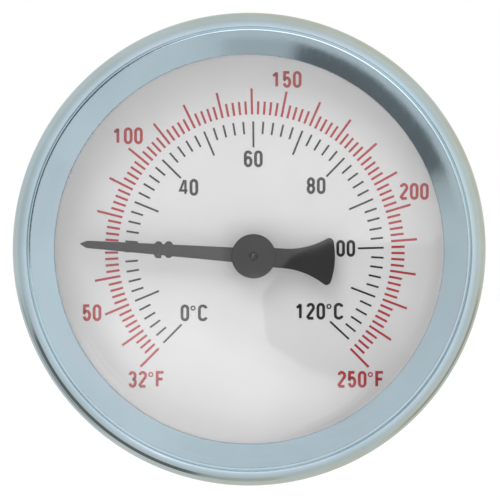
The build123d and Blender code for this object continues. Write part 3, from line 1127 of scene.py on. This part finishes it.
class MakeStem(bpy.types.Operator):
    """Drawn brass stem with its rounded tip"""

    bl_idname = "thermometer.make_stem"
    bl_label = "Stem"

    def execute(self, context):
        s = context.scene.neck_settings
        bore = TUBE.radius - TUBE_WALL
        edge = 0.06 * MM
        drawn = brass("drawn brass, stem", s.brass, TUBE, drawn=True)
        tube = turned_object("drawn_tube", TUBE.flat_ring(bore, edge), TUBE, drawn, 128)
        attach(tube, "root")
        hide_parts("stem_tube")
        corners = [
            (0, TIP.back), (TIP.radius, TIP.back), (TIP.radius, TUBE.back), (bore, TUBE.back),
            (bore, TIP.front), (TIP_BORE, TIP.front), (TIP_BORE, TUBE.back), (0, TUBE.back),
        ]
        section = rounded(corners, [s.tip_round, edge, 0, 0, 0, 0], steps=10)
        turned = brass("turned brass, tip", s.brass, TIP)
        tip = turned_object("rounded_tip", section, TIP, turned, 128, closed=False)
        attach(tip, "root")
        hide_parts("stem_tip")
        return {"FINISHED"}


class FinishInside(bpy.types.Operator):
    """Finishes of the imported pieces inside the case, neck and stem"""

    bl_idname = "thermometer.finish_inside"
    bl_label = "Inner pieces"

    def execute(self, context):
        tone, bronze = context.scene.neck_settings.brass, (0.62, 0.36, 0.16)
        finishes = {
            "window_gasket": moulded("gasket rubber", (0.02, 0.02, 0.02), 0.75),
            "spacer_ring": moulded("white acetal", (0.9, 0.9, 0.89), 0.4),
            "lock_washer": steel("spring steel", (0.40, 0.41, 0.43), 0.32),
            "lock_nut": brass("machined brass, nut", tone, SPINDLE),
            "helix_anchor": brass("turned brass, anchor", tone, SPINDLE),
            "lower_bush": brass("reamed bronze, lower bush", bronze, SPINDLE),
            "guide_bush": brass("reamed bronze, guide bush", bronze, SPINDLE),
            "helix_collet": brass("turned brass, collet", tone, SPINDLE),
            "pointer_boss": brass("turned brass, boss", tone, SPINDLE),
            "bimetal_helix": steel("rolled bimetal strip", (0.50, 0.46, 0.40), 0.35, (1, 0.1, 1)),
            "thrust_washer": moulded("white fluoroplastic", (0.82, 0.82, 0.80), 0.5),
            "spindle_clip": steel("phosphated steel", (0.09, 0.09, 0.10), 0.5),
        }
        for node, material in finishes.items():
            for slot in frame["nodes"][node].material_slots:
                slot.material = material
        return {"FINISHED"}


# Stage


CARD_POINTS = 65  # along each edge of a card
CARD_ROWS = 33  # from edge to edge
KEY_PLACE = (-0.18, -0.5, 0.55)  # from the ring's axis at the collar's seat
KEY_SIZE = 0.35
FLOOR_HALF = 12.0  # half the floor's side
SKY_LEAN = (0.13, 0.08, 0.07)  # how much brighter the sky is towards each axis


def stage_object(name, points, faces, material):
    made = object_from(name, points, faces, material)
    return made


def card(name, near_edge, far_edge, light, across, along):
    """A card that only mirrored light meets, ruled between two edges, with fading sides.

    Its point at the shares s and t is (1 - t) * near edge + t * far edge at s. Its cover there is
    across(t) * along(s), each read off a list of shares and covers joined by straight lines.
    """
    t = np.linspace(0, 1, CARD_ROWS)[:, None, None]
    points = (1 - t) * near_edge[None] + t * far_edge[None]
    s = np.linspace(0, 1, CARD_POINTS)
    cover = np.interp(t.ravel(), *across)[:, None] * np.interp(s, *along)[None]
    finish = Finish(name.replace("_", " "))
    share = finish.node("Attribute", attribute_name="cover").outputs["Fac"]
    clear = finish.node("BsdfTransparent").outputs[0]
    lit = finish.node("Emission", {"Color": (light, light, light, 1)}).outputs[0]
    faces = grid_faces(CARD_ROWS, CARD_POINTS)
    made = stage_object(name, points.reshape(-1, 3), faces, finish.instead(share, clear, lit))
    attribute = made.data.attributes.new("cover", "FLOAT", "POINT")
    attribute.data.foreach_set("value", cover.ravel())
    made.visible_camera = made.visible_diffuse = False
    made.visible_shadow = made.visible_transmission = False


def along_line(corners):
    """Points at even shares of a line through corners."""
    corners = np.asarray(corners, float)
    lengths = np.linalg.norm(np.diff(corners, axis=0), axis=1)
    far = np.concatenate([[0], np.cumsum(lengths)])
    share = np.linspace(0, far[-1], CARD_POINTS)
    return np.column_stack([np.interp(share, far, column) for column in corners.T])


def seen_in_window(corners, distance, s, turn=0):
    """Places at a distance in front of the window from where it mirrors them, in millimetres.

    A dome of radius B turns the view by 2 p / B at a place p, and a camera at distance C adds
    p / C, so the card lies at p * (1 + distance * (2 / B + 1 / C)).
    """
    throw = 1 + distance * (2 / bow_radius(*window_dome()) + 1 / s.distance)
    places = along_line(rounded(corners, [turn] * (len(corners) - 2))) * MM * throw
    flat = np.full(len(places), WINDOW.front - distance)
    return np.column_stack([RING.x + places[:, 0], flat, RING.z + places[:, 1]])


def round_the_front(off_axis, start, end, distance):
    """Places on a circle round the view's axis, off it by one angle, from start to end, degrees."""
    a, off = np.radians(np.linspace(start, end, CARD_POINTS)), math.radians(off_axis)
    radius, ahead = distance * math.sin(off), distance * math.cos(off)
    x, z = RING.x + radius * np.cos(a), RING.z + radius * np.sin(a)
    return np.column_stack([x, np.full(len(a), RING.front - ahead), z])


class MakeStage(bpy.types.Operator):
    """Pale floor, soft studio light and the camera"""

    bl_idname = "thermometer.make_stage"
    bl_label = "Stage"

    def execute(self, context):
        s = context.scene.stage_settings
        self.floor(s)
        self.sky(context, s)
        self.key(context, s)
        self.cards(s)
        self.camera(context, s)
        context.scene.view_settings.view_transform = "Standard"
        return {"FINISHED"}

    @staticmethod
    def cards(s):
        """Dark and bright cards that the plated ring and the window mirror."""
        card(
            "dark_card_low_left",
            round_the_front(36, 188, 280, 0.6),
            round_the_front(73, 188, 280, 0.6), 0.2,
            ([0, 0.02, 0.96, 1], [0, 1, 1, 0]),
            ([0, 0.12, 0.17, 0.73, 0.77, 0.95, 1], [0, 0.3, 1, 1, 0.3, 0.25, 0]),
        )
        right_edge = [(12, 1.4), (5.6, -1.0), (1.7, -6.2), (2.4, -12.9), (9.2, -17.4)]
        card(
            "dark_card_right",
            seen_in_window(right_edge, 0.5, s, 1.6),
            seen_in_window([(27, 1), (21, -21)], 0.5, s), 0.02,
            ([0, 0.4, 0.8, 1], [1, 1, 0.7, 0.4]),
            ([0, 0.04, 0.93, 1], [0, 1, 1, 0]),
        )
        card(
            "grey_card_middle",
            seen_in_window([(-3.8, 4.4), (9, 4.4)], 0.55, s),
            seen_in_window([(-3.8, -4.6), (9, -4.6)], 0.55, s), 0.62,
            ([0, 0.2, 0.8, 1], [0, 1, 1, 0]),
            ([0, 0.12, 0.7, 1], [0, 1, 1, 0]),
        )
        low_edge = [(-26, -4), (-9, -5), (2.6, -12.9), (8.4, -17.0), (15, -19)]
        card(
            "bright_card_low",
            seen_in_window(low_edge, 0.52, s, 2.0),
            seen_in_window([(-14, -28), (0, -29), (10, -28)], 0.52, s), 2.3,
            ([0, 0.3, 0.7, 1], [0, 1, 1, 0.6]),
            ([0, 0.1, 0.7, 0.9, 1], [0, 1, 1, 0.6, 0.3]),
        )

    @staticmethod
    def floor(s):
        half, level = FLOOR_HALF, RING.z - RING.radius - s.floor_gap
        corners = [(-half, -half), (half, -half), (half, half), (-half, half)]
        points = np.array([(x, y, level) for x, y in corners])
        finish = Finish(
            "pale floor", Roughness=0.9, Emission_Color=(1, 1, 1, 1), Emission_Strength=0.2
        )
        grain = finish.noise(finish.place(), scale=8, detail=3)
        tone = finish.mixed(grain, (0.88, 0.88, 0.88), (0.92, 0.92, 0.92))
        finish.drive("Base Color", tone)
        made = stage_object("floor", points, [[0, 1, 2, 3]], finish.material)
        made.visible_glossy = False

    @staticmethod
    def sky(context, s):
        """Even light that leans to the right and up, brighter round the camera, with a dim strip
        low down at the sides. The camera itself sees plain white.
        """
        world = bpy.data.worlds.new("studio")
        context.scene.world = world
        world.use_nodes = True
        tree = world.node_tree

        def calculate(operation, one, other):
            return add_node(tree, "Math", {0: one, 1: other}, operation=operation).outputs[0]

        def towards(direction):
            """Cosine of the angle to a direction, times the direction's length."""
            inputs = {0: sight, 1: direction}
            return add_node(tree, "VectorMath", inputs, operation="DOT_PRODUCT").outputs["Value"]

        def fade(value, low, high, start, end, kind="SMOOTHSTEP"):
            inputs = dict(enumerate((value, low, high, start, end)))
            return add_node(tree, "MapRange", inputs, interpolation_type=kind).outputs[0]

        sight = add_node(tree, "TexCoord").outputs["Generated"]
        front = towards((0, -1, 0))
        height = add_node(tree, "SeparateXYZ", {0: sight}).outputs[2]
        lean = calculate("MULTIPLY", towards(SKY_LEAN), fade(front, 0.3, 0.62, 0.1, 1.0, "LINEAR"))
        glow = fade(front, 0.905, 0.97, 0.0, s.glow)
        bright = calculate("ADD", calculate("ADD", lean, glow), s.sky)
        strip = 1.0
        for edge in (
            fade(height, -0.85, -0.65, 0.0, 1.0), fade(height, -0.3, -0.1, 1.0, 0.0),
            fade(front, -0.35, -0.15, 0.0, 1.0), fade(front, 0.15, 0.35, s.strip, 0.0),
        ):
            strip = calculate("MULTIPLY", strip, edge)
        bright = calculate("MULTIPLY", bright, calculate("SUBTRACT", 1.0, strip))
        to_camera = add_node(tree, "LightPath").outputs["Is Camera Ray"]
        background = tree.nodes["Background"]
        background.inputs["Color"].default_value = (1, 1, 1, 1)
        tree.links.new(calculate("MAXIMUM", bright, to_camera), background.inputs["Strength"])

    @staticmethod
    def key(context, s):
        light = bpy.data.lights.new("key", "AREA")
        light.energy, light.size = s.key, KEY_SIZE
        lamp = bpy.data.objects.new("key", light)
        middle = Vector((RING.x, 0, RING.z))
        lamp.location = middle + Vector(KEY_PLACE)
        lamp.rotation_euler = (-Vector(KEY_PLACE)).to_track_quat("-Z", "Y").to_euler()
        lamp.visible_glossy = False
        context.scene.collection.objects.link(lamp)

    @staticmethod
    def camera(context, s):
        """Long lens along +Y. The ring's silhouette plane fills the picture but for the margin."""
        plane = RING.front + context.scene.ring_settings.bead
        data = bpy.data.cameras.new("camera")
        data.lens = data.sensor_width / 2 * s.distance / (s.margin * RING.radius)
        data.clip_start, data.clip_end = 0.01, 100.0
        camera = bpy.data.objects.new("camera", data)
        camera.location = (RING.x + s.shift_x, plane - s.distance, RING.z + s.shift_z)
        camera.rotation_euler = (math.pi / 2, 0, 0)
        context.scene.collection.objects.link(camera)
        context.scene.camera = camera


STEPS = (
    MakeRing, MakeWindow, MakeDial, MakePrint, MakePointer, MakeSpindle, MakeCase, MakeNeck,
    MakeStem, FinishInside, MakeStage,
)


class ThermometerPanel(bpy.types.Panel):
    """Buttons and sizes for every step"""

    bl_idname = "VIEW3D_PT_thermometer"
    bl_label = "Dial thermometer"
    bl_space_type = "VIEW_3D"
    bl_region_type = "UI"
    bl_category = "Thermometer"

    def draw(self, context):
        for name, group in GROUPS.items():
            box = self.layout.box()
            box.label(text=name.capitalize())
            for key in group.__annotations__:
                box.prop(getattr(context.scene, name + "_settings"), key)
        for step in STEPS:
            self.layout.operator(step.bl_idname)


def register():
    for item in (*GROUPS.values(), *STEPS, ThermometerPanel):
        bpy.utils.register_class(item)
    for name, group in GROUPS.items():
        setattr(bpy.types.Scene, name + "_settings", PointerProperty(type=group))


def unregister():
    for name in GROUPS:
        delattr(bpy.types.Scene, name + "_settings")
    for item in reversed((*GROUPS.values(), *STEPS, ThermometerPanel)):
        bpy.utils.unregister_class(item)


def main():
    register()
    for step in STEPS:
        group, name = step.bl_idname.split(".")
        getattr(getattr(bpy.ops, group), name)()


if __name__ == "__main__":
    main()
